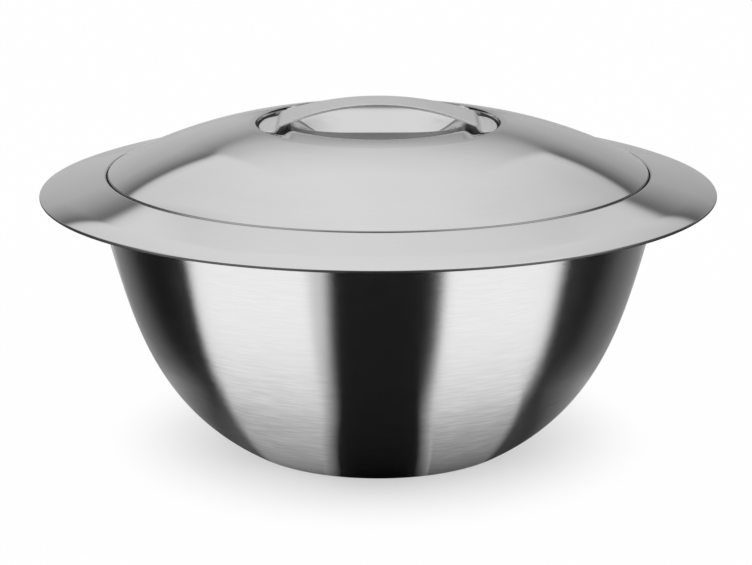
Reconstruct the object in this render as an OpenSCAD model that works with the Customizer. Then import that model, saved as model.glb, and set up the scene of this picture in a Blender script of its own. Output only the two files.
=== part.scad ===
// Insulated stainless serving bowl with a wide brim and a lift-off lid.
// Millimetres, +Z up. The origin is on the table under the bowl's axis,
// and the lid's handle runs along X.
// Every pressed steel piece is a skin line, drawn from the axis or the edge,
// with the sheet laid to one side of it and turned about the axis.

/* [Bowl] */
// Diameter over the brim
brim_d = 330; // [300:1:360]
// Height of the brim's outer edge above the table
brim_edge_h = 127.5; // [118:0.5:138]
// Diameter of the flat base
base_d = 138; // [124:1:150]
// Slope of the outer wall where it leaves the base, in degrees
base_slope = 30.5; // [27:0.5:36]
// Slope of the outer wall under the brim, in degrees
wall_slope = 75; // [72:0.5:80]
// Thickness of the insulation between the two walls
insulation_t = 11; // [8:0.5:12]
// Width of the ring that the bowl stands on
foot_w = 9; // [6:0.5:14]
// Height of the base's raised middle above the table
base_lift = 1.5; // [0.8:0.1:2.5]

/* [Brim] */
// Width of the brim, from the lid's seat to its outer edge
brim_w = 32.5; // [29:0.1:36]
// Slope of the brim's straight part, in degrees
brim_slope = 13.5; // [11:0.5:16]
// Slope of the brim at its outer edge, in degrees
brim_edge_slope = 22; // [19:0.5:26]
// Radius of the brim's rolled edge, seen in section
brim_edge_r = 75; // [60:1:90]
// Width of the hem folded under the brim's edge
hem_w = 6; // [4:0.5:10]
// Width of the ledge that the lid rests on, at the top of the inner wall
ledge_w = 5.8; // [5.6:0.1:7]

/* [Lid] */
// Diameter of the level middle of the lid
crest_d = 85; // [82:1:90]
// Radius of the soft shoulder around the level middle, seen in section
shoulder_r = 190; // [170:1:220]
// Diameter of the faint crease where the shoulder meets the dome
crease_d = 126; // [122:1:130]
// Slope of the dome just outside the crease, in degrees
crease_slope = 8.5; // [8:0.1:9.5]
// Radius of the dome outside the crease, seen in section
dome_r = 215; // [205:1:240]
// Depth of the plug under the lid
plug_h = 8; // [5:0.5:12]
// Rise of the plug's underside towards the middle
plug_rise = 5; // [2:0.5:8]

/* [Finger dish] */
// Distance between the centres of the dish's round ends
dish_span = 22; // [18:1:26]
// Width of the dish where it leaves the level middle
dish_w = 74; // [70:1:78]
// Radius of the soft lip of the dish, seen in section
dish_lip_r = 30; // [27:1:34]
// Steepest slope inside the dish, in degrees
dish_slope = 30; // [27:0.5:33]

/* [Handle recess] */
// Diameter of the round recess that takes the handle's feet
recess_d = 119; // [117:1:122]
// Radius of the recess's bottom, which falls away to both ends of the handle
recess_fall_r = 400; // [370:5:450]

/* [Handle] */
// Distance from each end of the handle to the wall of the recess
handle_margin = 1.5; // [1:0.1:3]
// Width of the handle at its waist
handle_waist = 23.5; // [19:0.5:28]
// Radius of the handle's hollow sides, seen from above
handle_side_r = 165; // [145:1:190]
// Radius of the handle's corners, seen from above
handle_corner_r = 6; // [4:0.5:8]
// Height of the handle's crown above the lid's level middle
handle_rise = 9.9; // [9:0.1:12]
// Thickness of the handle's steel
handle_t = 1.2; // [1:0.1:1.6]

/* [Sheet and fits] */
// Thickness of the pressed steel sheet
sheet_t = 0.8; // [0.6:0.1:1]
// Gap between the lid's edge and the brim, all round
lid_gap = 0.5; // [0.4:0.05:0.8]
// Gap between the lid and the ledge under it
rest_gap = 0.3; // [0.3:0.05:0.5]
// Gap between pieces that are crimped, bonded or welded together
bond_gap = 0.1; // [0.05:0.05:0.15]

/* [Hidden] */
$fn = 144;
// Facets shown on the wide bottom of the handle's recess
recess_fn = 720;
// Overrun of every cut past the face that it opens
overrun = 2;
// Points along a wall, and along a small round
wall_steps = 28;
arc_steps = 10;
round_steps = 6;
// Pull of the outer wall's curve along its two end slopes, as shares of the line between its ends
base_pull_share = 0.39;
wall_pull_share = 0.375;
// Radii of the pressed rounds: brim at the seat, ledge, floor inside, base outside, plug, lid edge
seat_edge_r = 0.9;
ledge_r = 1.2;
floor_r = 24;
base_r = 5;
plug_r = 4;
lid_edge_r = 1;
// Height of the floor's round where the inner wall takes over, as a share of its radius
floor_round_share = 0.25;
// Length of the lid's crimp under the liner's flange
crimp_w = 4.5;
// Angle at which the dish's lip leaves the level middle
dish_edge_slope = 4;
// Height that the recess's bottom would have at the axis, above the level middle
recess_lift = 0.3;
// Handle: slopes at the end of the arch and of the turn-down, the bend between them and the foot
arch_slope = 21;
turn_slope = 54;
bend_r = 3;
foot_l = 8.5;
// Colours
brushed_steel = [0.72, 0.72, 0.72];
polished_steel = [0.85, 0.85, 0.85];
foam = [0.93, 0.88, 0.72];

// Sizes that follow from the ones above
brim_r = brim_d / 2;
seat_r = brim_r - brim_w;
lid_r = seat_r - lid_gap;
handle_l = recess_d - 2 * handle_margin;
hem_t = 2 * sheet_t + bond_gap;
double_t = insulation_t + 2 * sheet_t;
crimp_h = 3 * sheet_t + 2 * bond_gap;

// Brim: its outer round, the rolled edge, and the straight part from there up to the seat
brim_round_r = hem_t / 2;
brim_round = [brim_r - brim_round_r, brim_edge_h];
brim_start = brim_round + brim_round_r * [sin(brim_edge_slope), cos(brim_edge_slope)];
brim_edge_axis = brim_start - brim_edge_r * [sin(brim_edge_slope), cos(brim_edge_slope)];
brim_turn = brim_edge_axis + brim_edge_r * [sin(brim_slope), cos(brim_slope)];
function brim_height(r) = brim_turn.y + (brim_turn.x - r) * tan(brim_slope);
seat_edge_h = brim_height(seat_r);
ledge_h = seat_edge_h - crimp_h - rest_gap;
ledge_in = [seat_r - ledge_w, ledge_h];

// Lid: the dome and the shoulder above it, found from the lid's edge upwards
dome_axis_r = crease_d / 2 - dome_r * sin(crease_slope);
edge_slope = asin((lid_r - dome_axis_r) / dome_r);
lid_edge_h = seat_edge_h;
dome_axis_h = lid_edge_h - dome_r * cos(edge_slope);
shoulder_slope = asin((crease_d - crest_d) / 2 / shoulder_r);
shoulder_h = dome_axis_h + dome_r * cos(crease_slope) - shoulder_r * cos(shoulder_slope);
lid_top_h = shoulder_h + shoulder_r;
crown_h = lid_top_h + handle_rise;

// Dish: half width, then the soft lip and the round floor in section
dish_lip_axis = dish_w / 2 + dish_lip_r * sin(dish_edge_slope);
dish_lip_h = lid_top_h - dish_lip_r * cos(dish_edge_slope);
dish_turn_r = dish_lip_axis - dish_lip_r * sin(dish_slope);
dish_floor_r = dish_turn_r / sin(dish_slope);
dish_floor_axis_h = dish_lip_h + (dish_lip_r + dish_floor_r) * cos(dish_slope);

// Recess: height of the axis that its bottom is bent about
recess_axis_h = lid_top_h + recess_lift - recess_fall_r;

// Handle foot: its top where the turn-down meets it, on the bottom of the recess
foot_r = recess_fall_r + bond_gap + handle_t;
foot_x = handle_l / 2 - foot_l;
foot_top = [foot_x, recess_axis_h + sqrt(foot_r * foot_r - foot_x * foot_x)];

// Line and curve helpers. A point is [radius, height] or [along, height].
function last(list) = list[len(list) - 1];
function reverse(list) = [for (i = [len(list) - 1 : -1 : 0]) list[i]];
function unit(v) = v / norm(v);
function left_of(v) = [-v.y, v.x];
function arc(axis, r, from, to, steps) =
    [for (i = [0 : steps])
        let (a = from + (to - from) * i / steps)
        axis + r * [sin(a), cos(a)]];
function bezier(p, t) = pow(1 - t, 3) * p[0] + 3 * pow(1 - t, 2) * t * p[1]
    + 3 * (1 - t) * t * t * p[2] + pow(t, 3) * p[3];
function meet_height(p, slope, h) = [p.x + (h - p.y) / tan(slope), h];

// Round of radius r at the corner b between a and c
function corner(a, b, c, r) =
    let (
        u = unit(a - b),
        v = unit(c - b),
        half = acos(u * v) / 2,
        axis = b + unit(u + v) * r / sin(half),
        from = b + u * r / tan(half) - axis,
        to = b + v * r / tan(half) - axis
    )
    [for (i = [0 : round_steps])
        let (w = unit(from * (round_steps - i) + to * i)) axis + r * w];

// The same line moved to its left by t. A line that starts on the axis stays square to it there.
function beside(line, t) =
    let (last = len(line) - 1)
    [for (i = [0 : last])
        let (
            after = left_of(unit(line[min(i, last - 1) + 1] - line[min(i, last - 1)])),
            before = i > 0 ? left_of(unit(line[i] - line[i - 1]))
                : line[0].x == 0 ? [-after.x, after.y]
                : after
        )
        line[i] + t * (before + after) / (1 + before * after)];

// Closed outline of sheet laid from one side of a line to the other
function sheet(line, from, to) = concat(beside(line, from), reverse(beside(line, to)));

// Skin of the outer bowl, from the axis along the base and up the wall.
// Its radius level with the brim's edge puts the inner wall under the inner edge of the ledge.
wall_r = ledge_in.x + double_t / sin(wall_slope) - (ledge_h - brim_edge_h) / tan(wall_slope);
wall_start = [base_d / 2, 0];
wall_end = [wall_r, brim_edge_h];
wall_reach = norm(wall_end - wall_start);
wall_pulls = [
    wall_start,
    wall_start + base_pull_share * wall_reach * [cos(base_slope), sin(base_slope)],
    wall_end - wall_pull_share * wall_reach * [cos(wall_slope), sin(wall_slope)],
    wall_end
];
wall_curve = [for (i = [1 : wall_steps]) bezier(wall_pulls, i / wall_steps)];
stand_r = base_d / 2 - foot_w;
lift_r = stand_r - 2 * base_lift;
// The wall runs on at its last slope until it meets the underside of the brim
wall_top = meet_height(wall_end, wall_slope,
    brim_height(wall_r) - sheet_t / cos(brim_slope) - bond_gap - sheet_t);
outer_line = concat(
    [[0, base_lift], [lift_r, base_lift], [stand_r, 0]],
    corner([stand_r, 0], wall_start, wall_pulls[1], base_r),
    wall_curve,
    [wall_top]
);

// Inside face of the inner bowl's wall, level with the outer wall all the way up
inner_floor_h = base_lift + double_t;
inner_wall_from_h = inner_floor_h + floor_round_share * floor_r;
inner_wall_to_h = ledge_h - 2 * ledge_r;
inner_wall = [for (p = beside(concat([wall_start], wall_curve), double_t))
    if (p.y > inner_wall_from_h && p.y < inner_wall_to_h) p];
inner_start = inner_wall[0];
inner_end = last(inner_wall);
floor_run = unit(inner_wall[1] - inner_start);
floor_corner = inner_start - floor_run * (inner_start.y - inner_floor_h) / floor_run.y;

// Skin of the inner bowl, from the axis along the floor, up to the seat and out over the brim
inner_line = concat(
    [[0, inner_floor_h]],
    corner([0, inner_floor_h], floor_corner, inner_start, floor_r),
    inner_wall,
    corner(inner_end, ledge_in, [seat_r, ledge_h], ledge_r),
    corner(ledge_in, [seat_r, ledge_h], [seat_r, seat_edge_h], sheet_t + bond_gap),
    corner([seat_r, ledge_h], [seat_r, seat_edge_h], brim_turn, seat_edge_r),
    arc(brim_edge_axis, brim_edge_r, brim_slope, brim_edge_slope, arc_steps)
);

// Skin of the lid's cover, from the axis out over the dome and round the crimped edge
dome_line = concat(
    [[0, lid_top_h]],
    arc([crest_d / 2, shoulder_h], shoulder_r, 0, shoulder_slope, arc_steps),
    [for (p = arc([dome_axis_r, dome_axis_h], dome_r, crease_slope, edge_slope, arc_steps))
        if (p.x > crease_d / 2 && p.x < lid_r - lid_edge_r) p]
);
dome_end = last(dome_line);
lid_edge = [lid_r, lid_edge_h];
lid_foot = [lid_r, lid_edge_h - crimp_h];
cover_line = concat(
    [for (i = [1 : len(dome_line) - 2]) dome_line[i]],
    corner(dome_end, lid_edge, lid_foot, lid_edge_r),
    corner(lid_edge, lid_foot, lid_foot - [crimp_w, 0], sheet_t + bond_gap),
    [lid_foot - [crimp_w, 0]]
);

// Underside of the lid's liner, from the crimped flange in to the plug
flange_h = lid_foot.y + sheet_t + bond_gap;
flange_r = lid_r - sheet_t - bond_gap;
plug_top = [ledge_in.x - ledge_r - lid_gap, flange_h];
plug_foot = [plug_top.x - plug_h / tan(wall_slope), flange_h - plug_h];
plug_middle = [0, plug_foot.y + plug_rise];
plug_curve_r = (plug_foot.x * plug_foot.x / plug_rise + plug_rise) / 2;
plug_curve = [for (i = [0 : arc_steps])
    let (r = plug_foot.x * i / arc_steps)
    [r, plug_middle.y - plug_curve_r + sqrt(plug_curve_r * plug_curve_r - r * r)]];
liner_line = concat(
    [for (i = [0 : arc_steps - 1]) plug_curve[i]],
    corner(plug_curve[arc_steps - 1], plug_foot, plug_top, plug_r),
    corner(plug_foot, plug_top, [flange_r, flange_h], ledge_r),
    [[flange_r, flange_h]]
);

// Section of the dish's room, grown by a distance into the lid and open above
function dish_section(grow) = concat(
    arc([0, dish_floor_axis_h], -dish_floor_r - grow, 0, -dish_slope, arc_steps),
    [for (i = [1 : arc_steps])
        let (s = dish_slope * (1 - i / arc_steps))
        [dish_lip_axis, dish_lip_h] + (dish_lip_r - grow) * [-sin(s), cos(s)]],
    [[dish_lip_axis, crown_h + overrun], [0, crown_h + overrun]]
);

// Handle: its top skin seen from the side, from the crown out and down past the foot.
// The arch's radius and the straight part of the turn-down together fill the span and the rise.
span_left = foot_top.x - bend_r * (sin(turn_slope) - sin(arch_slope));
rise_left = crown_h - foot_top.y - bend_r * (cos(arch_slope) - cos(turn_slope));
arch_r = (span_left * sin(turn_slope) - rise_left * cos(turn_slope))
    / (sin(arch_slope) * sin(turn_slope) - (1 - cos(arch_slope)) * cos(turn_slope));
arch_axis = [0, crown_h - arch_r];
bend_axis = arch_axis + (arch_r - bend_r) * [sin(arch_slope), cos(arch_slope)];
half_handle = concat(
    arc(arch_axis, arch_r, 0, arch_slope, arc_steps),
    [for (i = [1 : round_steps])
        let (s = arch_slope + (turn_slope - arch_slope) * i / round_steps)
        bend_axis + bend_r * [sin(s), cos(s)]],
    [foot_top + 2 * (handle_t + overrun) * [cos(turn_slope), -sin(turn_slope)]]
);
handle_line = concat(
    [for (p = reverse(half_handle)) if (p.x > 0) [-p.x, p.y]],
    half_handle
);
// Where the turn-down's underside comes down on the recess
toe_x = foot_x - (handle_t + bond_gap) / sin(turn_slope);

// Handle seen from above: hollow sides, ends that follow the recess, and a round where they meet
handle_end_r = handle_l / 2;
side_axis_y = handle_waist / 2 + handle_side_r;
end_reach = handle_end_r - handle_corner_r;
side_reach = handle_side_r + handle_corner_r;
corner_at = 90 - acos((side_axis_y * side_axis_y + end_reach * end_reach - side_reach * side_reach)
    / (2 * side_axis_y * end_reach));
corner_axis = end_reach * [cos(corner_at), sin(corner_at)];
side_turn = atan2(corner_axis.x, side_axis_y - corner_axis.y);
handle_quarter = concat(
    [for (i = [0 : arc_steps])
        let (a = side_turn * i / arc_steps)
        [0, side_axis_y] + handle_side_r * [sin(a), -cos(a)]],
    [for (i = [1 : round_steps])
        let (a = 90 + side_turn + (corner_at - 90 - side_turn) * i / round_steps)
        corner_axis + handle_corner_r * [cos(a), sin(a)]],
    [for (i = [1 : arc_steps])
        let (a = corner_at * (1 - i / arc_steps))
        handle_end_r * [cos(a), sin(a)]]
);
handle_half_outline = concat(
    handle_quarter,
    [for (p = reverse(handle_quarter)) if (p.y > 0) [p.x, -p.y]]
);
handle_outline = concat(
    handle_half_outline,
    [for (p = reverse(handle_half_outline)) if (p.x > 0) [-p.x, p.y]]
);

// Closed body of the lid under the dome's skin, down to its edge
module lid_dome() {
    foot = dome_end - [0, crimp_h];
    rotate_extrude() polygon(concat(dome_line, [foot, [0, foot.y]]));
}

// Room taken by the dish, with round ends and a straight middle
module dish_room(grow) {
    for (side = [0, 1]) {
        mirror([side, 0, 0]) translate([dish_span / 2, 0, 0])
            rotate([0, 0, -90]) rotate_extrude(angle = 180) polygon(dish_section(grow));
    }
    section = dish_section(grow);
    translate([-dish_span / 2, 0, 0]) rotate([90, 0, 90]) linear_extrude(dish_span)
        polygon(concat(section, [for (p = reverse(section)) if (p.x > 0) [-p.x, p.y]]));
}

// Round bar under the recess's bottom, across the handle
module recess_bottom(grow) {
    translate([0, lid_r, recess_axis_h]) rotate([90, 0, 0])
        cylinder(r = recess_fall_r + grow, h = 2 * lid_r, $fn = recess_fn);
}

// Room taken by the recess, grown by a distance into the lid and open above
module recess_room(grow) {
    difference() {
        cylinder(r = recess_d / 2 + grow, h = crown_h + overrun);
        recess_bottom(-grow);
    }
}

// All the room pressed into the lid's top
module pressed_room(grow) {
    dish_room(grow);
    recess_room(grow);
}

// Brushed outer wall and base
module outer_bowl() {
    color(brushed_steel) rotate_extrude() polygon(sheet(outer_line, 0, sheet_t));
}

// Polished inner wall, the lid's seat and the wide hemmed brim
module inner_bowl() {
    last = len(inner_line) - 1;
    under = beside(inner_line, -sheet_t);
    hem = beside(inner_line, -hem_t);
    hemmed = [for (i = [0 : last]) if (inner_line[i].x > brim_start.x - hem_w) i];
    rounding = arc(brim_round, brim_round_r, brim_edge_slope, 180 + brim_edge_slope, arc_steps);
    color(polished_steel) rotate_extrude() polygon(concat(
        inner_line,
        [for (i = [1 : arc_steps]) rounding[i]],
        [for (i = reverse(hemmed)) if (i < last) hem[i]],
        [for (i = [hemmed[0] : -1 : 0]) under[i]]
    ));
}

// Foam that fills the space between the two walls, up to a level top under the ledge
module bowl_insulation() {
    lift = sheet_t + bond_gap;
    outside = [for (p = beside(outer_line, lift)) if (p.y < inner_wall_to_h) p];
    inside = [for (p = beside(inner_line, -lift)) if (p.y < inner_wall_to_h && p.x < ledge_in.x) p];
    color(foam) rotate_extrude() polygon(concat(
        outside,
        [for (side = [outside, inside]) meet_height(last(side), wall_slope, inner_wall_to_h)],
        reverse(inside)
    ));
}

// Polished top of the lid, with the recess and the finger dish pressed into it
module lid_cover() {
    middle = dome_line[0];
    skin = concat([middle], sheet(cover_line, 0, -sheet_t), [middle - [0, sheet_t]]);
    color(polished_steel) difference() {
        union() {
            rotate_extrude() polygon(skin);
            intersection() {
                lid_dome();
                pressed_room(sheet_t);
            }
        }
        pressed_room(0);
    }
}

// Pan that closes the lid from below and plugs the bowl's mouth
module lid_liner() {
    color(polished_steel) rotate_extrude() polygon(sheet(liner_line, 0, sheet_t));
}

// Foam inside the lid
module lid_insulation() {
    lift = sheet_t + bond_gap;
    above = [for (p = beside(dome_line, -lift)) if (p.x < plug_top.x - lift) p];
    below = [for (p = beside(liner_line, lift)) if (p.x < plug_top.x - lift) p];
    color(foam) difference() {
        rotate_extrude() polygon(concat(below, reverse(above)));
        pressed_room(lift);
    }
}

// Arched handle that bridges the dish, with feet that lie on the bottom of the recess
module lid_handle() {
    color(polished_steel) difference() {
        intersection() {
            linear_extrude(crown_h + overrun) polygon(handle_outline);
            union() {
                translate([0, handle_end_r, 0]) rotate([90, 0, 0]) linear_extrude(2 * handle_end_r)
                    polygon(sheet(handle_line, 0, -handle_t));
                intersection() {
                    for (side = [0, 1]) {
                        mirror([side, 0, 0]) translate([toe_x, -handle_end_r, 0])
                            cube([handle_end_r, 2 * handle_end_r, lid_top_h]);
                    }
                    recess_bottom(bond_gap + handle_t);
                }
            }
        }
        recess_bottom(bond_gap);
    }
}

outer_bowl();
inner_bowl();
bowl_insulation();
lid_cover();
lid_liner();
lid_insulation();
lid_handle();
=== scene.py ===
import math

import bmesh
import bpy
from mathutils import Matrix, Vector


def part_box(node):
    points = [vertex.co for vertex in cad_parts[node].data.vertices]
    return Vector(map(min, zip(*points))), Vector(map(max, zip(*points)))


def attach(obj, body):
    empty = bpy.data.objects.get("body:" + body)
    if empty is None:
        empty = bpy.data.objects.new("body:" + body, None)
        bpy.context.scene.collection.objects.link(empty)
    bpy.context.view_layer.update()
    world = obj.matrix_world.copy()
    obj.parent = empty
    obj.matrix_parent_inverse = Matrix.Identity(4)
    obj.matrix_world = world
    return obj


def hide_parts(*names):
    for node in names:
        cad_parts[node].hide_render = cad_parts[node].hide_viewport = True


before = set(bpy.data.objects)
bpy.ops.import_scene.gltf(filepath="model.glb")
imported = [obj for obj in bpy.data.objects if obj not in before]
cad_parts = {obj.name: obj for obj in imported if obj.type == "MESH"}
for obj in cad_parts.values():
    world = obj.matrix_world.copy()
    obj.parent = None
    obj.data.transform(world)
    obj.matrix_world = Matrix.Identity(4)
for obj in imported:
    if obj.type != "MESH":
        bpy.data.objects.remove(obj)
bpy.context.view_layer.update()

# Sizes of the sheet metal, in metres
SHEET = 0.0008
BOND_GAP = 0.0001
LID_GAP = 0.0005
REST_GAP = 0.0003
FOAM = 0.011
HEM_T = 2 * SHEET + BOND_GAP
DOUBLE_T = FOAM + 2 * SHEET
CRIMP_H = 3 * SHEET + 2 * BOND_GAP

# Bowl and brim
BRIM_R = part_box("inner_bowl")[1].x
BRIM_EDGE_H = 0.1275
BRIM_W = 0.0325
BRIM_SLOPE = math.radians(13.5)
BRIM_EDGE_SLOPE = math.radians(22)
BRIM_EDGE_R = 0.075
HEM_W = 0.006
SEAT_R = BRIM_R - BRIM_W
SEAT_EDGE_R = 0.0009
LEDGE_W = 0.0058
LEDGE_R = 0.0012
BASE_R = 0.069
BASE_SLOPE = math.radians(30.5)
WALL_SLOPE = math.radians(75)
BASE_PULL_SHARE = 0.39
WALL_PULL_SHARE = 0.375
BASE_ROUND_R = 0.005
BASE_LIFT = 0.0015
FOOT_W = 0.009
FLOOR_R = 0.024
FLOOR_ROUND_SHARE = 0.25

# Lid
LID_R = SEAT_R - LID_GAP
CREST_R = 0.0425
SHOULDER_R = 0.19
CREASE_R = 0.063
CREASE_SLOPE = math.radians(8.5)
DOME_R = 0.215
LID_EDGE_R = 0.001
# Width of the lid's outer edge that gets painted shade, a dark seam against the brim
LID_SEAM_SHADE_W = 0.00045
CRIMP_W = 0.0045
PLUG_H = 0.008
PLUG_RISE = 0.005
PLUG_R = 0.004

# Round recess for the handle's feet, with a bottom that falls away to both ends of the handle
RECESS_R = 0.0595
RECESS_FALL_R = 0.4
RECESS_LIFT = 0.0003
RECESS_FROM_X = 0.04
RECESS_TO_X = 0.0487
RECESS_WALL = 0.0008
# Depth of the recess below the dome beyond which its wall beside a foot gets painted shadow
FOOT_SHADOW_DROP = 0.0028

# Finger dish in the middle of the recess
DISH_HALF_SPAN = 0.015
DISH_LIP_AXIS = 0.033
DISH_LIP_R = 0.02
DISH_SLOPE = math.radians(34)
RIM_SOFTNESS = 0.0001

# Handle
HANDLE_HALF_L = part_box("lid_handle")[1].x
CROWN_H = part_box("lid_handle")[1].z
HANDLE_WAIST = 0.01175
HANDLE_SIDE_R = 0.165
HANDLE_CORNER_R = 0.006
HANDLE_T = 0.0012
HANDLE_EDGE_R = 0.0003
ARCH_SLOPE = math.radians(21)
TURN_SLOPE = math.radians(54)
BEND_R = 0.003
FOOT_L = 0.0085
TOE_SOFTNESS = 0.0006

# Fineness of the meshes
SEGMENTS = 240
WALL_STEPS = 90
ARC_STEPS = 40
ROUND_STEPS = 10
STRAIGHT_SHARES = (0.01, 0.03, 0.1, 0.3, 0.6, 0.9, 0.98)
LID_RAYS = 720
DISH_RINGS = 36
RECESS_RINGS = 16
RECESS_WALL_RINGS = 16
DOME_RINGS = 40
HALVINGS = 40
STRAP_SIDE_STEPS = 90
STRAP_CORNER_STEPS = 14
STRAP_END_STEPS = 24
STRAP_ACROSS = 24
STRAP_EDGE_STEPS = 4
MERGE_DISTANCE = 1e-7
SHARP_ANGLE = math.radians(40)

# Upward part of the normal below which a face gets painted shade: the hem's edge and the strap's underside
HEM_EDGE_UP = 0.45
STRAP_UNDER_UP = -0.3

# Streaks in steel: length in radians round the axis, width in metres and detail of the noise
FINE_STREAKS = (0.05, 0.0003, 3)
BROAD_STREAKS = (0.1, 0.0009, 4)
COARSE_STREAKS = (0.12, 0.0014, 3)
POLISH_LINES = (0.8, 0.0006, 3)
FINE_SHARE = 0.4
BRUSH_DEPTH = 0.00015
POLISH_DEPTH = 0.00001
ROUGHNESS_SWING = 0.06
SMEAR_SCALE = 28

# Heights between which the brushing gets coarser towards the foot, and its contrast there
COARSE_FULL_H = 0.02
COARSE_NONE_H = 0.09
COARSE_CONTRAST = 0.75

# Foam: cells per metre and depth of their relief
FOAM_CELLS = 700
FOAM_RELIEF = 0.0004


# Lines in section: each point is a radius and a height
def point(r, h):
    return Vector((r, h))


def turned(angle):
    return Vector((math.sin(angle), math.cos(angle)))


def arc(axis, r, start, end, steps):
    return [axis + r * turned(start + (end - start) * i / steps) for i in range(steps + 1)]


def corner(a, b, c, r):
    """Round of radius r at b, between the lines to a and to c."""
    u = (a - b).normalized()
    v = (c - b).normalized()
    half = math.acos(max(-1, min(1, u.dot(v)))) / 2
    axis = b + (u + v).normalized() * (r / math.sin(half))
    start = b + u * (r / math.tan(half)) - axis
    end = b + v * (r / math.tan(half)) - axis
    shares = [i / ROUND_STEPS for i in range(ROUND_STEPS + 1)]
    return [axis + r * start.slerp(end, share) for share in shares]


def beside(line, t):
    """The line moved to its left by t, square to the axis where it starts there."""
    moved = []
    last = len(line) - 1
    for i, p in enumerate(line):
        k = min(i, last - 1)
        run = (line[k + 1] - line[k]).normalized()
        after = Vector((-run.y, run.x))
        before = after
        if i > 0:
            run = (line[i] - line[i - 1]).normalized()
            before = Vector((-run.y, run.x))
        elif p.x == 0:
            before = Vector((-after.x, after.y))
        moved.append(p + (before + after) * (t / (1 + before.dot(after))))
    return moved


def bezier(p, t):
    s = 1 - t
    return p[0] * s ** 3 + p[1] * (3 * s * s * t) + p[2] * (3 * s * t * t) + p[3] * t ** 3


def between(a, b, shares):
    return [a.lerp(b, share) for share in shares]


# Brim
brim_round_r = HEM_T / 2
brim_round = point(BRIM_R - brim_round_r, BRIM_EDGE_H)
brim_edge_axis = brim_round + (brim_round_r - BRIM_EDGE_R) * turned(BRIM_EDGE_SLOPE)
brim_line = arc(brim_edge_axis, BRIM_EDGE_R, BRIM_SLOPE, BRIM_EDGE_SLOPE, ARC_STEPS)
brim_turn = brim_line[0]


def brim_height(r):
    """Height of the brim's straight part at a radius."""
    return brim_turn.y + (brim_turn.x - r) * math.tan(BRIM_SLOPE)


seat_edge_h = brim_height(SEAT_R)
ledge_h = seat_edge_h - CRIMP_H - REST_GAP
ledge_in = point(SEAT_R - LEDGE_W, ledge_h)

# Outer bowl
wall_rise = ledge_h - BRIM_EDGE_H
wall_r = ledge_in.x + DOUBLE_T / math.sin(WALL_SLOPE) - wall_rise / math.tan(WALL_SLOPE)
wall_start = point(BASE_R, 0)
wall_end = point(wall_r, BRIM_EDGE_H)
wall_reach = (wall_end - wall_start).length
base_run = point(math.cos(BASE_SLOPE), math.sin(BASE_SLOPE))
wall_run = point(math.cos(WALL_SLOPE), math.sin(WALL_SLOPE))
wall_pulls = [
    wall_start,
    wall_start + base_run * (BASE_PULL_SHARE * wall_reach),
    wall_end - wall_run * (WALL_PULL_SHARE * wall_reach),
    wall_end,
]
wall_curve = [bezier(wall_pulls, i / WALL_STEPS) for i in range(1, WALL_STEPS + 1)]
wall_top_h = brim_height(wall_r) - SHEET / math.cos(BRIM_SLOPE) - BOND_GAP - SHEET
wall_top = wall_end + wall_run * ((wall_top_h - BRIM_EDGE_H) / wall_run.y)
stand_r = BASE_R - FOOT_W
lift_r = stand_r - 2 * BASE_LIFT
lift_corner = point(lift_r, BASE_LIFT)
stand_corner = point(stand_r, 0)
outer_line = (
    [point(0, BASE_LIFT)]
    + corner(point(0, BASE_LIFT), lift_corner, stand_corner, 2 * BASE_LIFT)
    + corner(lift_corner, stand_corner, wall_start, BASE_LIFT)
    + corner(stand_corner, wall_start, wall_pulls[1], BASE_ROUND_R)
    + wall_curve
    + [wall_top]
)

# Inner bowl
inner_floor_h = BASE_LIFT + DOUBLE_T
inner_from_h = inner_floor_h + FLOOR_ROUND_SHARE * FLOOR_R
inner_to_h = ledge_h - 2 * LEDGE_R
inner_wall = beside([wall_start] + wall_curve, DOUBLE_T)
inner_wall = [p for p in inner_wall if inner_from_h < p.y < inner_to_h]
floor_run = (inner_wall[1] - inner_wall[0]).normalized()
floor_corner = inner_wall[0] - floor_run * ((inner_wall[0].y - inner_floor_h) / floor_run.y)
seat_foot = point(SEAT_R, ledge_h)
seat_edge = point(SEAT_R, seat_edge_h)
seat_round = corner(seat_foot, seat_edge, brim_turn, SEAT_EDGE_R)
inner_line = (
    [point(0, inner_floor_h)]
    + corner(point(0, inner_floor_h), floor_corner, inner_wall[0], FLOOR_R)
    + inner_wall
    + corner(inner_wall[-1], ledge_in, seat_foot, LEDGE_R)
    + corner(ledge_in, seat_foot, seat_edge, SHEET + BOND_GAP)
    + seat_round
    + between(seat_round[-1], brim_turn, STRAIGHT_SHARES)
    + brim_line
)

# Dome of the lid, with a soft shoulder inside a faint crease
dome_axis_r = CREASE_R - DOME_R * math.sin(CREASE_SLOPE)
edge_slope = math.asin((LID_R - dome_axis_r) / DOME_R)
dome_axis_h = seat_edge_h - DOME_R * math.cos(edge_slope)
shoulder_slope = math.asin((CREASE_R - CREST_R) / SHOULDER_R)
shoulder_h = dome_axis_h + DOME_R * math.cos(CREASE_SLOPE) - SHOULDER_R * math.cos(shoulder_slope)
lid_top_h = shoulder_h + SHOULDER_R


def dome(r):
    """Height of the lid's dome at a radius."""
    if r < CREST_R:
        return lid_top_h
    if r < CREASE_R:
        return shoulder_h + math.sqrt(SHOULDER_R ** 2 - (r - CREST_R) ** 2)
    return dome_axis_h + math.sqrt(DOME_R ** 2 - (r - dome_axis_r) ** 2)


# Dish in the lid, seen in section
dish_lip_h = lid_top_h - DISH_LIP_R
dish_turn_r = DISH_LIP_AXIS - DISH_LIP_R * math.sin(DISH_SLOPE)
dish_floor_r = dish_turn_r / math.sin(DISH_SLOPE)
dish_floor_axis_h = dish_lip_h + (DISH_LIP_R + dish_floor_r) * math.cos(DISH_SLOPE)


def dish(distance):
    """Height of the dish at a distance from its middle line."""
    if distance < dish_turn_r:
        return dish_floor_axis_h - math.sqrt(dish_floor_r ** 2 - distance ** 2)
    reach = min(distance, DISH_LIP_AXIS)
    return dish_lip_h + math.sqrt(DISH_LIP_R ** 2 - (DISH_LIP_AXIS - reach) ** 2)


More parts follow.
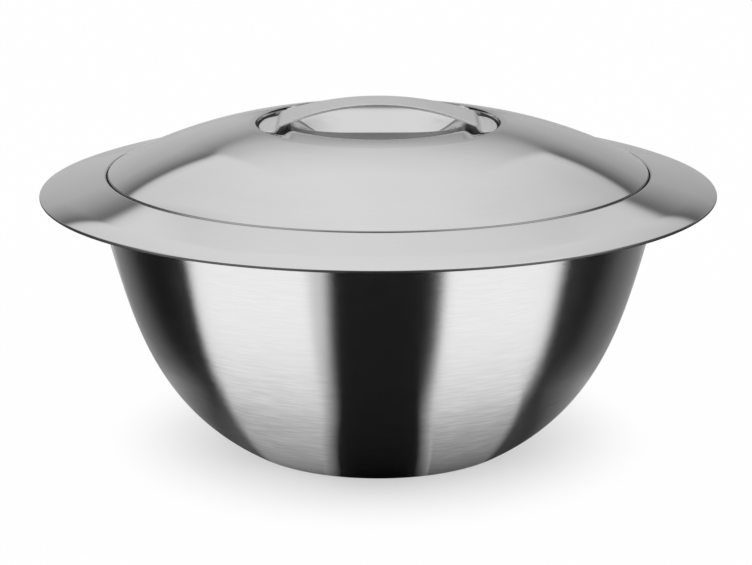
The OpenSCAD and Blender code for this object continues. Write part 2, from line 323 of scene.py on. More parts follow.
def from_middle(x, y):
    """Distance from the dish's middle line."""
    return math.hypot(max(abs(x) - DISH_HALF_SPAN, 0), y)


def soft_least(a, b, softness):
    mix = max(softness - abs(a - b), 0) / softness
    return min(a, b) - mix * mix * softness / 4


def smooth(share):
    share = max(min(share, 1), 0)
    return share * share * (3 - 2 * share)


def recess(x, lift=0.0):
    """Height of the recess's bottom along the handle, lifted square to its surface."""
    return lid_top_h + RECESS_LIFT - RECESS_FALL_R + math.sqrt((RECESS_FALL_R + lift) ** 2 - x * x)


def recess_drop(x):
    """Depth of the recess below the dome, which fades out towards the middle."""
    share = smooth((abs(x) - RECESS_FROM_X) / (RECESS_TO_X - RECESS_FROM_X))
    return max(dome(abs(x)) - recess(x), 0) * share


def top_height(x, y):
    """Height of the lid's top with the recess in it."""
    r = math.hypot(x, y)
    if r > RECESS_R + RECESS_WALL / 2:
        return dome(r)
    return dome(r) - recess_drop(x) * (1 - smooth((r - RECESS_R) / RECESS_WALL + 0.5))


def lid_height(x, y):
    """Height of the lid's top with the recess and the dish in it."""
    distance = from_middle(x, y)
    if distance > DISH_LIP_AXIS:
        return top_height(x, y)
    return soft_least(top_height(x, y), dish(distance), RIM_SOFTNESS)


# Mesh makers
def new_piece(name, bm, material, body, nodes):
    """A mesh object made from bm, riding on a body in place of CAD nodes."""
    bmesh.ops.recalc_face_normals(bm, faces=bm.faces)
    mesh = bpy.data.meshes.new(name)
    bm.to_mesh(mesh)
    bm.free()
    for polygon in mesh.polygons:
        polygon.use_smooth = True
    mesh.set_sharp_from_angle(angle=SHARP_ANGLE)
    mesh.materials.append(material)
    piece = bpy.data.objects.new(name, mesh)
    bpy.context.scene.collection.objects.link(piece)
    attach(piece, body)
    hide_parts(*nodes)
    return piece


def skin_rings(bm, rings):
    """Quads between neighbouring rings of points, all of one length and closed."""
    made = [[bm.verts.new(p) for p in ring] for ring in rings]
    for a, b in zip(made, made[1:]):
        for i in range(len(a)):
            k = (i + 1) % len(a)
            bm.faces.new((a[i], a[k], b[k], b[i]))
    return made


def lathe(profile):
    """Solid turned about the axis from a profile that starts and ends there."""
    bm = bmesh.new()
    angles = [2 * math.pi * i / SEGMENTS for i in range(SEGMENTS)]
    inside = [p for p in profile if p.x > 0]
    rings = [[(p.x * math.cos(a), p.x * math.sin(a), p.y) for a in angles] for p in inside]
    made = skin_rings(bm, rings)
    for ring, end in ((made[0], profile[0]), (made[-1], profile[-1])):
        middle = bm.verts.new((0, 0, end.y))
        for i in range(SEGMENTS):
            bm.faces.new((ring[i], ring[(i + 1) % SEGMENTS], middle))
    return bm


def sheet(line, t):
    """Closed profile of sheet laid from a line to its left."""
    return line + beside(line, t)[::-1]


# Materials
def nodes_of(name):
    material = bpy.data.materials.new(name)
    material.use_nodes = True
    tree = material.node_tree
    return material, tree, tree.nodes["Principled BSDF"]


def add(tree, kind, **settings):
    node = tree.nodes.new(kind)
    for key, value in settings.items():
        setattr(node, key, value)
    return node


def math_node(tree, operation, *values):
    node = add(tree, "ShaderNodeMath", operation=operation)
    for i, value in enumerate(values):
        if isinstance(value, bpy.types.NodeSocket):
            tree.links.new(value, node.inputs[i])
        else:
            node.inputs[i].default_value = value
    return node.outputs[0]


def spread(tree, value, low, high):
    """The value, from 0 to 1, spread from low to high."""
    node = add(tree, "ShaderNodeMapRange")
    tree.links.new(value, node.inputs["Value"])
    node.inputs["To Min"].default_value = low
    node.inputs["To Max"].default_value = high
    return node.outputs["Result"]


def turned_noise(tree, length, width, detail):
    """Noise drawn out round the axis: streaks of a length in radians and a width in metres."""
    place = add(tree, "ShaderNodeTexCoord").outputs["Object"]
    split = add(tree, "ShaderNodeSeparateXYZ")
    tree.links.new(place, split.inputs[0])
    flat = add(tree, "ShaderNodeCombineXYZ")
    tree.links.new(split.outputs["X"], flat.inputs["X"])
    tree.links.new(split.outputs["Y"], flat.inputs["Y"])
    size = add(tree, "ShaderNodeVectorMath", operation="LENGTH")
    tree.links.new(flat.outputs[0], size.inputs[0])
    around = add(tree, "ShaderNodeVectorMath", operation="NORMALIZE")
    tree.links.new(flat.outputs[0], around.inputs[0])
    around_split = add(tree, "ShaderNodeSeparateXYZ")
    tree.links.new(around.outputs[0], around_split.inputs[0])
    along = math_node(tree, "ADD", size.outputs["Value"], split.outputs["Z"])
    where = add(tree, "ShaderNodeCombineXYZ")
    tree.links.new(math_node(tree, "MULTIPLY", around_split.outputs["X"], 1 / length), where.inputs["X"])
    tree.links.new(math_node(tree, "MULTIPLY", around_split.outputs["Y"], 1 / length), where.inputs["Y"])
    tree.links.new(math_node(tree, "MULTIPLY", along, 1 / width), where.inputs["Z"])
    noise = add(tree, "ShaderNodeTexNoise")
    noise.inputs["Scale"].default_value = 1
    noise.inputs["Detail"].default_value = detail
    tree.links.new(where.outputs[0], noise.inputs["Vector"])
    return noise.outputs["Fac"]


def colour_mix(tree, value, dark, light):
    """A colour between dark and light, as the value goes from low to high."""
    ramp = add(tree, "ShaderNodeValToRGB")
    ramp.color_ramp.elements[0].color = (*dark, 1)
    ramp.color_ramp.elements[1].color = (*light, 1)
    ramp.color_ramp.elements[0].position = 0.3
    ramp.color_ramp.elements[1].position = 0.7
    tree.links.new(value, ramp.inputs[0])
    return ramp.outputs["Color"]


def grey(level):
    return (level, level, level)


def brushed_steel(name, dark, light, roughness, streaks):
    """Steel brushed round the axis, so that reflections smear up and down."""
    material, tree, shader = nodes_of(name)
    shader.inputs["Metallic"].default_value = 1
    shader.inputs["Anisotropic"].default_value = 1
    shader.inputs["Anisotropic Rotation"].default_value = 0.25
    tangent = add(tree, "ShaderNodeTangent", direction_type="RADIAL", axis="Z")
    tree.links.new(tangent.outputs[0], shader.inputs["Tangent"])
    fine = turned_noise(tree, *FINE_STREAKS)
    broad = math_node(tree, "MULTIPLY", turned_noise(tree, *BROAD_STREAKS), 1 - FINE_SHARE)
    both = math_node(tree, "MULTIPLY_ADD", fine, FINE_SHARE, broad)
    coarse = math_node(tree, "SUBTRACT", turned_noise(tree, *COARSE_STREAKS), 0.5)
    height = add(tree, "ShaderNodeSeparateXYZ")
    tree.links.new(add(tree, "ShaderNodeTexCoord").outputs["Object"], height.inputs[0])
    coarse_share = add(tree, "ShaderNodeMapRange", interpolation_type="SMOOTHSTEP")
    tree.links.new(height.outputs["Z"], coarse_share.inputs["Value"])
    coarse_share.inputs["From Min"].default_value = COARSE_FULL_H
    coarse_share.inputs["From Max"].default_value = COARSE_NONE_H
    coarse_share.inputs["To Min"].default_value = COARSE_CONTRAST
    coarse_share.inputs["To Max"].default_value = 0
    grain = math_node(tree, "MULTIPLY_ADD", coarse, coarse_share.outputs["Result"], 1)
    tone = add(tree, "ShaderNodeVectorMath", operation="SCALE")
    tree.links.new(colour_mix(tree, both, dark, light), tone.inputs[0])
    tree.links.new(grain, tone.inputs["Scale"])
    tree.links.new(tone.outputs[0], shader.inputs["Base Color"])
    gloss = spread(tree, both, roughness - ROUGHNESS_SWING, roughness + ROUGHNESS_SWING)
    tree.links.new(gloss, shader.inputs["Roughness"])
    bump = add(tree, "ShaderNodeBump")
    bump.inputs["Strength"].default_value = streaks
    bump.inputs["Distance"].default_value = BRUSH_DEPTH
    tree.links.new(both, bump.inputs["Height"])
    tree.links.new(bump.outputs[0], shader.inputs["Normal"])
    return material


def polished_steel(name, dark, light, roughness):
    """Bright steel with faint polishing lines and soft smears."""
    material, tree, shader = nodes_of(name)
    shader.inputs["Metallic"].default_value = 1
    lines = turned_noise(tree, *POLISH_LINES)
    place = add(tree, "ShaderNodeTexCoord").outputs["Object"]
    smears = add(tree, "ShaderNodeTexNoise")
    smears.inputs["Scale"].default_value = SMEAR_SCALE
    smears.inputs["Detail"].default_value = 5
    tree.links.new(place, smears.inputs["Vector"])
    wear = math_node(tree, "ADD", math_node(tree, "MULTIPLY", lines, 0.5),
                     math_node(tree, "MULTIPLY", smears.outputs["Fac"], 0.5))
    tree.links.new(colour_mix(tree, wear, dark, light), shader.inputs["Base Color"])
    tree.links.new(spread(tree, wear, roughness * 0.7, roughness * 1.3), shader.inputs["Roughness"])
    bump = add(tree, "ShaderNodeBump")
    bump.inputs["Strength"].default_value = 0.02
    bump.inputs["Distance"].default_value = POLISH_DEPTH
    tree.links.new(lines, bump.inputs["Height"])
    tree.links.new(bump.outputs[0], shader.inputs["Normal"])
    return material


def foam_material(name):
    """Pale hard foam with small cells."""
    material, tree, shader = nodes_of(name)
    place = add(tree, "ShaderNodeTexCoord").outputs["Object"]
    cells = add(tree, "ShaderNodeTexVoronoi")
    cells.inputs["Scale"].default_value = FOAM_CELLS
    tree.links.new(place, cells.inputs["Vector"])
    colour = colour_mix(tree, cells.outputs["Distance"], (0.74, 0.66, 0.46), (0.88, 0.81, 0.62))
    tree.links.new(colour, shader.inputs["Base Color"])
    shader.inputs["Roughness"].default_value = 0.85
    bump = add(tree, "ShaderNodeBump")
    bump.inputs["Strength"].default_value = 0.4
    bump.inputs["Distance"].default_value = FOAM_RELIEF
    tree.links.new(cells.outputs["Distance"], bump.inputs["Height"])
    tree.links.new(bump.outputs[0], shader.inputs["Normal"])
    return material


brushed = brushed_steel("brushed_steel", grey(0.82), grey(0.89), 0.2, 0.35)
satin = brushed_steel("satin_steel", grey(0.66), grey(0.76), 0.3, 0.2)
polished = polished_steel("polished_steel", grey(0.68), grey(0.7), 0.05)
strap = polished_steel("strap_steel", grey(0.77), grey(0.81), 0.42)
# Dim steel that paints shade: on the strap's underside and on the lid's outer edge in its seam against the
# brim
underside = polished_steel("painted_shade_dim_steel", grey(0.3), grey(0.36), 0.3)
# Dark steel that paints shade: under the hem's lower edge and on the recess's wall round the ends of the
# handle's feet
painted_shade = polished_steel("painted_shade_steel", grey(0.1), grey(0.2), 0.5)
foam = foam_material("foam")


# Bowl
def make_outer_bowl():
    return new_piece("outer_wall", lathe(sheet(outer_line, SHEET)), brushed, "bowl",
                     ["outer_bowl"])


def make_inner_bowl():
    hem = beside(inner_line, -HEM_T)
    under = beside(inner_line, -SHEET)
    hemmed = [i for i, p in enumerate(inner_line) if p.x > brim_line[-1].x - HEM_W]
    rounding = arc(brim_round, brim_round_r, BRIM_EDGE_SLOPE, math.pi + BRIM_EDGE_SLOPE, ROUND_STEPS)
    profile = inner_line + rounding[1:]
    profile += [hem[i] for i in hemmed[-2::-1]]
    profile += [under[i] for i in range(hemmed[0], -1, -1)]
    piece = new_piece("inner_wall_and_brim", lathe(profile), polished, "bowl",
                      ["inner_bowl"])
    piece.data.materials.append(satin)
    piece.data.materials.append(painted_shade)
    for polygon in piece.data.polygons:
        r = polygon.center.xy.length
        if r < ledge_in.x:
            polygon.material_index = 1
        # Painted shade on the hem's lower edge, under the brim
        if r > brim_round.x and polygon.normal.z < HEM_EDGE_UP:
            polygon.material_index = 2
    return piece


# Lid
def rim_at(base, run):
    """Distance along run at which the dish meets the top around it."""
    low, high = dish_turn_r, DISH_LIP_AXIS
    for _ in range(HALVINGS):
        middle = (low + high) / 2
        if dish(middle) < top_height(*(base + run * middle)):
            low = middle
        else:
            high = middle
    return low


def lid_rays(count):
    """Rays from the dish's middle line out over its rim: start, and the place of the rim."""
    rays = []
    straight = count // 16
    round_part = count // 2 - straight
    for side in (1, -1):
        for i in range(straight):
            base = point(side * DISH_HALF_SPAN * (1 - 2 * (i + 0.5) / straight), 0)
            rays.append((base, point(0, side)))
        for i in range(round_part):
            a = math.pi * (i + 0.5) / round_part
            base = point(-side * DISH_HALF_SPAN, 0)
            rays.append((base, point(-side * math.sin(a), side * math.cos(a))))
    return [(base, base + run * rim_at(base, run)) for base, run in rays]


def make_lid_cover():
    """Top of the lid: rings follow the dish to its rim, widen to the recess's wall, then go on as circles."""
    rays = lid_rays(LID_RAYS)
    ways = [rim.normalized() for base, rim in rays]
    dish_shares = [i / DISH_RINGS for i in range(DISH_RINGS)] + [0.985, 0.994]
    recess_shares = [0, 0.006, 0.014] + [0.03 + 0.97 * i / RECESS_RINGS for i in range(RECESS_RINGS)]
    wall_radii = [RECESS_R + RECESS_WALL * (i / 12 - 0.625) for i in range(RECESS_WALL_RINGS)]
    to_crease = CREASE_R - wall_radii[-1]
    shoulder_radii = [wall_radii[-1] + to_crease * share for share in (0.1, 0.3, 0.6, 0.9)]
    dome_shares = [0, 0.004] + [0.012 + 0.988 * i / DOME_RINGS for i in range(DOME_RINGS)]

    def over_dish(share, drop):
        places = [base.lerp(rim, share) for base, rim in rays]
        return [(p.x, p.y, lid_height(p.x, p.y) - drop) for p in places]

    def over_recess(share, drop):
        places = [rim.lerp(way * wall_radii[0], share) for (base, rim), way in zip(rays, ways)]
        return [(p.x, p.y, lid_height(p.x, p.y) - drop) for p in places]

    def over_wall(r, drop):
        return [(r * way.x, r * way.y, lid_height(r * way.x, r * way.y) - drop) for way in ways]

    def circle(p):
        return [(p.x * way.x, p.x * way.y, p.y) for way in ways]

    edge = point(LID_R, seat_edge_h)
    foot = point(LID_R, seat_edge_h - CRIMP_H)
    foot_in = foot - point(CRIMP_W, 0)
    dome_reach = LID_R - 2 * LID_EDGE_R - CREASE_R
    skin = [point(r, dome(r)) for r in [CREASE_R + dome_reach * share for share in dome_shares]]
    skin += corner(skin[-1], edge, foot, LID_EDGE_R)
    skin += corner(edge, foot, foot_in, SHEET + BOND_GAP)
    skin.append(foot_in)
    rings = [over_dish(share, 0) for share in dish_shares]
    rings += [over_recess(share, 0) for share in recess_shares]
    rings += [over_wall(r, 0) for r in wall_radii + shoulder_radii]
    rings += [circle(p) for p in skin + beside(skin, -SHEET)[::-1]]
    rings += [over_wall(r, SHEET) for r in wall_radii[::-3]]
    rings += [over_recess(share, SHEET) for share in recess_shares[::-3]]
    rings += [over_dish(share, SHEET) for share in dish_shares[::-5] + [0]]
    bm = bmesh.new()
    skin_rings(bm, rings)
    bmesh.ops.remove_doubles(bm, verts=bm.verts, dist=MERGE_DISTANCE)
    piece = new_piece("lid_top", bm, polished, "lid", ["lid_cover"])
    piece.data.materials.append(painted_shade)
    piece.data.materials.append(underside)
    for polygon in piece.data.polygons:
        place = polygon.center
        # Painted shadow on the recess's wall round the ends of the handle's feet
        beside_foot = HANDLE_HALF_L < place.xy.length < RECESS_R
        if beside_foot and recess_drop(place.x) > FOOT_SHADOW_DROP:
            polygon.material_index = 1
        # Painted shade on the lid's outer edge, in its seam against the brim
        if place.xy.length > LID_R - LID_SEAM_SHADE_W:
            polygon.material_index = 2
    return piece


def make_lid_liner():
    flange_h = seat_edge_h - CRIMP_H + SHEET + BOND_GAP
    flange_end = point(LID_R - SHEET - BOND_GAP, flange_h)
    plug_top = point(ledge_in.x - LEDGE_R - LID_GAP, flange_h)
    plug_foot = point(plug_top.x - PLUG_H / math.tan(WALL_SLOPE), flange_h - PLUG_H)
    curve_r = (plug_foot.x ** 2 / PLUG_RISE + PLUG_RISE) / 2
    axis_h = plug_foot.y + PLUG_RISE - curve_r
    radii = [plug_foot.x * i / ARC_STEPS for i in range(ARC_STEPS)]
    curve = [point(r, axis_h + math.sqrt(curve_r ** 2 - r * r)) for r in radii]
    while curve[-1].x > plug_foot.x - 1.5 * PLUG_R:
        curve.pop()
    line = curve + corner(curve[-1], plug_foot, plug_top, PLUG_R)
    line += corner(plug_foot, plug_top, flange_end, LEDGE_R)
    line.append(flange_end)
    return new_piece("lid_underside", lathe(sheet(line, SHEET)), satin, "lid",
                     ["lid_liner"])


# Handle: its top seen from the side, from the crown out to the foot
foot_x = HANDLE_HALF_L - FOOT_L
foot_h = recess(foot_x, BOND_GAP + HANDLE_T)
span_left = foot_x - BEND_R * (math.sin(TURN_SLOPE) - math.sin(ARCH_SLOPE))
rise_left = CROWN_H - foot_h - BEND_R * (math.cos(ARCH_SLOPE) - math.cos(TURN_SLOPE))
arch_r = (span_left * math.sin(TURN_SLOPE) - rise_left * math.cos(TURN_SLOPE)) / (
    math.sin(ARCH_SLOPE) * math.sin(TURN_SLOPE) - (1 - math.cos(ARCH_SLOPE)) * math.cos(TURN_SLOPE)
)
arch_axis_h = CROWN_H - arch_r
bend_axis = point(0, arch_axis_h) + (arch_r - BEND_R) * turned(ARCH_SLOPE)


def strap_height(x, depth):
    """Height of the strap's top, or of a face that lies depth below it, before it meets the recess."""
    x = abs(x)
    if x < (arch_r - depth) * math.sin(ARCH_SLOPE):
        return arch_axis_h + math.sqrt((arch_r - depth) ** 2 - x * x)
    bend = BEND_R - depth
    if x < bend_axis.x + bend * math.sin(TURN_SLOPE):
        return bend_axis.y + math.sqrt(bend ** 2 - (x - bend_axis.x) ** 2)
    end = bend_axis + bend * turned(TURN_SLOPE)
    return end.y - (x - end.x) * math.tan(TURN_SLOPE)


def handle_height(x, y, depth):
    """Height of the handle's top, or of a face that lies depth below it, on the strap or on the foot."""
    foot = recess(x, BOND_GAP + HANDLE_T - depth) + dome(math.hypot(x, y)) - dome(abs(x))
    return -soft_least(-strap_height(x, depth), -foot, TOE_SOFTNESS)


# Handle seen from above
side_axis_y = HANDLE_WAIST + HANDLE_SIDE_R
end_reach = HANDLE_HALF_L - HANDLE_CORNER_R
side_reach = HANDLE_SIDE_R + HANDLE_CORNER_R
corner_cosine = (side_axis_y ** 2 + end_reach ** 2 - side_reach ** 2) / (2 * side_axis_y * end_reach)
corner_at = math.pi / 2 - math.acos(corner_cosine)
corner_axis = end_reach * point(math.cos(corner_at), math.sin(corner_at))
side_turn = math.atan2(corner_axis.x, side_axis_y - corner_axis.y)


def handle_outline():
    """Points along one long edge of the handle, from its waist to near the middle of its end."""
    side = [side_turn * i / STRAP_SIDE_STEPS for i in range(STRAP_SIDE_STEPS + 1)]
    points = [
        point(HANDLE_SIDE_R * math.sin(a), side_axis_y - HANDLE_SIDE_R * math.cos(a))
        for a in side
    ]
    start = math.pi / 2 + side_turn
    turns = [
        start + (corner_at - start) * i / STRAP_CORNER_STEPS
        for i in range(1, STRAP_CORNER_STEPS + 1)
    ]
    points += [corner_axis + HANDLE_CORNER_R * point(math.cos(a), math.sin(a)) for a in turns]
    ends = [corner_at * (1 - i / STRAP_END_STEPS) for i in range(1, STRAP_END_STEPS - 1)]
    points += [HANDLE_HALF_L * point(math.cos(a), math.sin(a)) for a in ends]
    return points


def handle_ring(x, half_w):
    """Section across the handle at x: top, rounded edge, underside and rounded edge."""
    flat = half_w - HANDLE_EDGE_R
    turns = [math.pi / 2 * i / STRAP_EDGE_STEPS for i in range(1, STRAP_EDGE_STEPS)]
    half = [(flat * (2 * i / STRAP_ACROSS - 1), 0) for i in range(STRAP_ACROSS + 1)]
    half += [(flat + HANDLE_EDGE_R * math.sin(a), HANDLE_EDGE_R * (1 - math.cos(a))) for a in turns]
    half += [(half_w, HANDLE_EDGE_R), (half_w, HANDLE_T - HANDLE_EDGE_R)]
    half += [
        (flat + HANDLE_EDGE_R * math.cos(a), HANDLE_T - HANDLE_EDGE_R * (1 - math.sin(a)))
        for a in turns
    ]
    ring = [(x, y, handle_height(x, y, depth)) for y, depth in half]
    return ring + [(x, -y, handle_height(x, -y, HANDLE_T - depth)) for y, depth in half]


def make_handle():
    half = handle_outline()
    stations = [(-p.x, p.y) for p in half[:0:-1]] + [(p.x, p.y) for p in half]
    bm = bmesh.new()
    rings = skin_rings(bm, [handle_ring(x, half_w) for x, half_w in stations])
    for ring in (rings[0], rings[-1]):
        bm.faces.new(ring)
    piece = new_piece("handle_strap", bm, strap, "lid", ["lid_handle"])
    piece.data.materials.append(underside)
    for polygon in piece.data.polygons:
        # Painted shade on the strap's underside
        if polygon.normal.z < STRAP_UNDER_UP:
            polygon.material_index = 1
    return piece


make_outer_bowl()
make_inner_bowl()
make_lid_cover()
make_lid_liner()
make_handle()
for name in ("bowl_insulation", "lid_insulation"):
    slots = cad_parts[name].data.materials
    slots.clear()
    slots.append(foam)

# Floor: white, with the bowl's shadow shown more strongly close to its foot
FLOOR_SIZE = 40
FLOOR_DROP = 0.0002
FLOOR_GREY = 0.95
MATT = 0.9
WHITE = 0.98
SHADOW_R = 0.07
CAMERA_WHITE_R = 0.14
CAMERA_NEAR_WHITE = 0.55
MIRROR_WHITE_R = 0.24
MIRROR_NEAR_WHITE = 0.0


def make_floor():
    half = FLOOR_SIZE / 2
    corners = [(-half, -half), (half, -half), (half, half), (-half, half)]
    mesh = bpy.data.meshes.new("floor")
    mesh.from_pydata([(x, y, -FLOOR_DROP) for x, y in corners], [], [(0, 1, 2, 3)])
    material, tree, shader = nodes_of("floor")
    shader.inputs["Base Color"].default_value = (*grey(FLOOR_GREY), 1)
    shader.inputs["Roughness"].default_value = MATT
    shader.inputs["Specular IOR Level"].default_value = 0.0
    place = add(tree, "ShaderNodeTexCoord").outputs["Object"]
    from_axis = add(tree, "ShaderNodeVectorMath", operation="LENGTH")
    tree.links.new(place, from_axis.inputs[0])
    rays = add(tree, "ShaderNodeLightPath")
    seen = rays.outputs["Is Camera Ray"]
    glossy = rays.outputs["Is Glossy Ray"]
    mirrored = math_node(tree, "MAXIMUM", glossy, rays.outputs["Is Transmission Ray"])
    shares = []
    for kind, near_white, white_r in (
        (seen, CAMERA_NEAR_WHITE, CAMERA_WHITE_R), (mirrored, MIRROR_NEAR_WHITE, MIRROR_WHITE_R),
    ):
        share = add(tree, "ShaderNodeMapRange", interpolation_type="SMOOTHSTEP")
        tree.links.new(from_axis.outputs["Value"], share.inputs["Value"])
        share.inputs["From Min"].default_value = SHADOW_R
        share.inputs["From Max"].default_value = white_r
        share.inputs["To Min"].default_value = near_white
        share.inputs["To Max"].default_value = WHITE
        shares.append(math_node(tree, "MULTIPLY", share.outputs["Result"], kind))
    white = add(tree, "ShaderNodeEmission")
    mix = add(tree, "ShaderNodeMixShader")
    tree.links.new(math_node(tree, "MAXIMUM", *shares), mix.inputs[0])
    tree.links.new(shader.outputs[0], mix.inputs[1])
    tree.links.new(white.outputs[0], mix.inputs[2])
    tree.links.new(mix.outputs[0], tree.nodes["Material Output"].inputs["Surface"])
    mesh.materials.append(material)
    floor = bpy.data.objects.new("floor", mesh)
    bpy.context.scene.collection.objects.link(floor)


make_floor()

# Dark and grey cards that lie on the floor, seen only in reflections; the card round the foot paints the
# bowl's shadow on the floor
CARD_LIFT = 0.0006
CARD_INNER_R = 0.06
FOOT_SHADOW_LIFT = 0.0004
FOOT_SHADOW_RADII = (0.055, 0.075, 0.1, 0.125)
REAR_CARD_R = 0.2


def make_card(name, rows, lift=CARD_LIFT):
    """A card between rows of places on the floor, each a point and the grey level there."""
    bm = bmesh.new()
    made = [[bm.verts.new((p.x, p.y, lift)) for p, level in row] for row in rows]
    for a, b in zip(made, made[1:]):
        for k in range(len(a) - 1):
            bm.faces.new((a[k], a[k + 1], b[k + 1], b[k]))
    mesh = bpy.data.meshes.new(name)
    bm.to_mesh(mesh)
    bm.free()
    levels = mesh.attributes.new("level", "FLOAT", "POINT")
    levels.data.foreach_set("value", [level for row in rows for p, level in row])
    material, tree, shader = nodes_of(name)
    tone = add(tree, "ShaderNodeAttribute", attribute_name="level")
    tree.links.new(tone.outputs["Fac"], shader.inputs["Base Color"])
    shader.inputs["Roughness"].default_value = MATT
    shader.inputs["Specular IOR Level"].default_value = 0.0
    mesh.materials.append(material)
    card = bpy.data.objects.new(name, mesh)
    bpy.context.scene.collection.objects.link(card)
    card.visible_camera = False
    card.visible_diffuse = False
    card.visible_shadow = False


def upright_rows(side, near_level, edges):
    """Rows of a card whose reflection stands upright on the bowl. Each edge is a turn from the front,
    the turns at which it lies below the brim and at the foot, the card's reach and its level."""
    rows = []
    for turn, near_turn, foot_turn, reach, level in edges:
        near_turns = (foot_turn, (foot_turn + near_turn) / 2, near_turn)
        ways = [turned(math.pi - side * math.radians(a)) for a in near_turns]
        far = turned(math.pi - 2 * side * math.radians(turn)) * reach
        near_levels = [max(level, near_level), max(level, near_level / 2), level]
        radii = (CARD_INNER_R, (CARD_INNER_R + wall_r) / 2, wall_r)
        row = [(way * r, tone) for way, r, tone in zip(ways, radii, near_levels)]
        start = turned(math.pi - side * math.radians(turn)) * wall_r
        rows.append(row + [(start + far, level)])
    return rows


def sector_rows(inner_r, outer_r, edges):
    """Rows of a card between two radii: each edge is a turn from the rear and the level there."""
    runs = [(turned(math.radians(turn)), level) for turn, level in edges]
    return [[(run * inner_r, level), (run * outer_r, level)] for run, level in runs]


def foot_shadow_rows(edges):
    """Rows of a card of painted shadow close round the foot: each edge is a turn from the front and levels
    outwards.
    """
    return [
        [(turned(math.pi - math.radians(turn)) * r, level) for r, level in zip(FOOT_SHADOW_RADII, levels)]
        for turn, levels in edges
    ]


# Grey levels outwards from the foot: painted shadow of the bowl on the floor, darker on the right
left_foot_shadow = (0.55, 0.75, 0.92, 0.95)
right_foot_shadow = (0.4, 0.5, 0.7, 0.95)
foot_edges = [(turn, left_foot_shadow if turn < 0 else right_foot_shadow) for turn in range(-64, 65, 16)]
make_card("foot_shadow_card", foot_shadow_rows(foot_edges), FOOT_SHADOW_LIFT)
make_card("front_card", upright_rows(1, 0.015, [
    (-14.5, -17.5, -22, 4, 0.9), (-9.5, -12, -15, 4, 0.015), (0, 0, 0, 4, 0.015),
    (10, 12.6, 14, 4, 0.015), (14, 17, 20, 4, 0.9),
]))
make_card("left_card", upright_rows(-1, 0.35, [
    (41.2, 57.3, 46, 4, 0.01), (47, 59.5, 53, 4, 0.01), (54, 62, 60, 4, 0.01),
    (60.5, 64.5, 67, 3, 0.015), (66, 67, 73, 1, 0.1), (72, 72, 76, 0.5, 0.22),
    (80, 80, 82, 0.5, 0.36), (90, 90, 90, 0.5, 0.5), (105, 105, 105, 0.4, 0.75),
    (120, 120, 120, 0.3, 0.95),
]))
make_card("right_card", upright_rows(1, 0.18, [
    (40.5, 52.5, 45, 4, 0.01), (47, 57, 54, 4, 0.01), (53.5, 59.5, 60, 4, 0.015),
    (59, 62, 66, 2, 0.06), (64, 65, 70, 1, 0.14), (72, 72, 75, 0.5, 0.24),
    (80, 80, 82, 0.5, 0.36), (90, 90, 90, 0.5, 0.5), (105, 105, 105, 0.4, 0.75),
    (120, 120, 120, 0.3, 0.95),
]))
make_card("rear_card", sector_rows(REAR_CARD_R, FLOOR_SIZE, [
    (-44, 0.68), (-20, 0.68), (0, 0.63), (20, 0.56), (44, 0.52),
]))

# World: a pale studio, with dark gaps beside the camera and under the rear light
world = bpy.data.worlds.new("studio")
bpy.context.scene.world = world
world.use_nodes = True
sky = world.node_tree
LOW_SKY = 0.55
HIGH_SKY = 0.95


def ramp(value, stops, top=1):
    """Levels that follow a value in degrees, through stops of degrees and level, none above top."""
    low = stops[0][0]
    high = stops[-1][0]
    reach = add(sky, "ShaderNodeMapRange")
    reach.inputs["From Min"].default_value = low
    reach.inputs["From Max"].default_value = high
    sky.links.new(value, reach.inputs["Value"])
    node = add(sky, "ShaderNodeFloatCurve")
    points = node.mapping.curves[0].points
    while len(points) < len(stops):
        points.new(0.5, 0.5)
    for mark, (at, level) in zip(points, stops):
        mark.location = ((at - low) / (high - low), level / top)
        mark.handle_type = "VECTOR"
    node.mapping.update()
    sky.links.new(reach.outputs["Result"], node.inputs["Value"])
    return math_node(sky, "MULTIPLY", node.outputs["Value"], top)


def mixed(a, b, share):
    """a where the share is 0 and b where it is 1."""
    rest = math_node(sky, "SUBTRACT", 1, share)
    return math_node(sky, "MULTIPLY_ADD", b, share, math_node(sky, "MULTIPLY", a, rest))


split = add(sky, "ShaderNodeSeparateXYZ")
sky.links.new(add(sky, "ShaderNodeTexCoord").outputs["Generated"], split.inputs[0])
to_degrees = 180 / math.pi
rise = math_node(sky, "MULTIPLY", math_node(sky, "ARCSINE", split.outputs["Z"]), to_degrees)
turn = math_node(sky, "ARCTAN2", split.outputs["X"], split.outputs["Y"])
turn = math_node(sky, "MULTIPLY", turn, to_degrees)
off_rear = math_node(sky, "ABSOLUTE", turn)

# Sky beside and before the bowl, with a dark gap behind the camera and one at each side
around = ramp(off_rear, [
    (0, 0.6), (26, 0.6), (34, 0.3), (48, 0.3), (52, 0.02), (84, 0.02),
    (90, 1.3), (150, 1.3), (156, 0.01), (180, 0.01),
], 2)
side_sky = mixed(around, HIGH_SKY, ramp(rise, [(-90, 0), (30, 0), (58, 1), (90, 1)]))

# Sky behind the bowl: grey below the edge of a large light, which is lower in the middle
light_edge = ramp(turn, [
    (-180, 28), (-60, 28), (-24, 25), (-14.4, 25.1), (-13.4, 23.2), (-12, 22), (-9, 19.5),
    (-4.5, 16.5), (0, 11.5), (4.5, 16.5), (9, 19), (12, 21.3), (13.4, 22), (14.4, 22.9),
    (24, 23.5), (60, 28), (180, 28),
], 90)
over_edge = math_node(sky, "SUBTRACT", rise, light_edge)
shade = ramp(off_rear, [(0, 0.4), (9, 0.34), (12, 0.3), (15, 0.18), (180, 0.18)])
shade_share = ramp(over_edge, [(-90, 0), (-15, 0), (-9, 0.09), (-5, 0.43), (-3, 0.71), (-1, 1), (90, 1)])
low_sky = mixed(LOW_SKY, shade, shade_share)
light = ramp(rise, [
    (-90, 0.5), (20, 0.5), (24, 0.62), (28, 0.7), (32, 0.79), (36, 0.85), (44, 0.93), (60, 0.96),
    (90, 0.96),
])
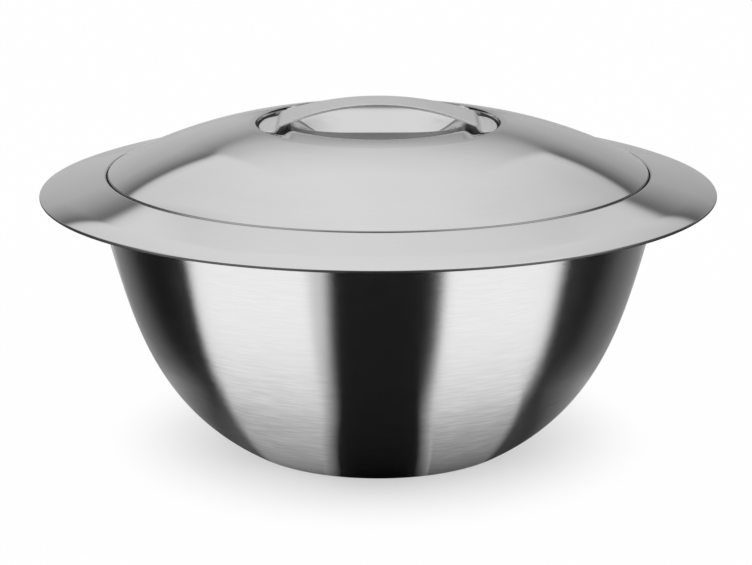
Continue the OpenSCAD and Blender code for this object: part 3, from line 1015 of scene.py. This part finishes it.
brim_light = ramp(rise, [(-90, 0.87), (30, 0.87), (44, 0.93), (60, 0.96), (90, 0.96)])
brim_share = ramp(off_rear, [(0, 0), (13.2, 0), (14.4, 1), (180, 1)])
light = mixed(light, brim_light, brim_share)
soft_share = ramp(over_edge, [(-90, 0), (-1, 0), (1, 0.6), (3, 0.85), (8, 1), (90, 1)])
sharp_share = ramp(over_edge, [(-90, 0), (-0.5, 0), (1, 0.85), (3, 1), (90, 1)])
light_share = mixed(soft_share, sharp_share, brim_share)
middle = ramp(rise, [
    (-90, 0.14), (0, 0.15), (6, 0.25), (12, 0.34), (18, 0.48), (23, 0.65), (30, 0.78), (36, 0.85),
    (44, 0.93), (60, 0.96), (90, 0.96),
])
middle_share = ramp(off_rear, [(0, 1), (1.5, 1), (6, 0), (180, 0)])
back_sky = mixed(mixed(low_sky, light, light_share), middle, middle_share)

# The left is lighter than the right, most of all low down
lean = ramp(turn, [
    (-180, 0.8), (-45, 0.8), (-24, 0.9), (-16, 1), (-9, 1.06), (0, 1),
    (9, 0.95), (16, 0.86), (24, 0.68), (45, 0.45), (180, 0.45),
], 2)
lean_share = ramp(rise, [(-90, 1), (20, 1), (36, 0.5), (60, 0.15), (90, 0)])
back_sky = math_node(sky, "MULTIPLY", back_sky, mixed(1, lean, lean_share))
level = mixed(side_sky, back_sky, ramp(off_rear, [(0, 1), (30, 1), (44, 0), (180, 0)]))

# Straight from the camera the sky is as white as the floor
seen = add(sky, "ShaderNodeLightPath").outputs["Is Camera Ray"]
sky.links.new(mixed(level, WHITE, seen), sky.nodes["Background"].inputs["Color"])

# Camera at the photograph's angle
IMAGE_W = 752
FOCAL_PX = 2233.8
CAMERA_DISTANCE = 1.1
CAMERA_RISE = math.radians(12.634)
CAMERA_PITCH = math.radians(15.103)
CAMERA_YAW = math.radians(-0.059)
CAMERA_ROLL = math.radians(-0.08)
camera_data = bpy.data.cameras.new("camera")
camera_data.sensor_width = 36
camera_data.lens = FOCAL_PX * camera_data.sensor_width / IMAGE_W
camera = bpy.data.objects.new("camera", camera_data)
bpy.context.scene.collection.objects.link(camera)
back = CAMERA_DISTANCE * math.cos(CAMERA_RISE)
camera.location = (0, -back, BRIM_EDGE_H + CAMERA_DISTANCE * math.sin(CAMERA_RISE))
looking = Matrix.Rotation(-CAMERA_YAW, 3, "Z") @ Matrix.Rotation(math.pi / 2 - CAMERA_PITCH, 3, "X")
camera.rotation_euler = (looking @ Matrix.Rotation(CAMERA_ROLL, 3, "Z")).to_euler()
bpy.context.scene.camera = camera
bpy.context.scene.view_settings.view_transform = "Standard"
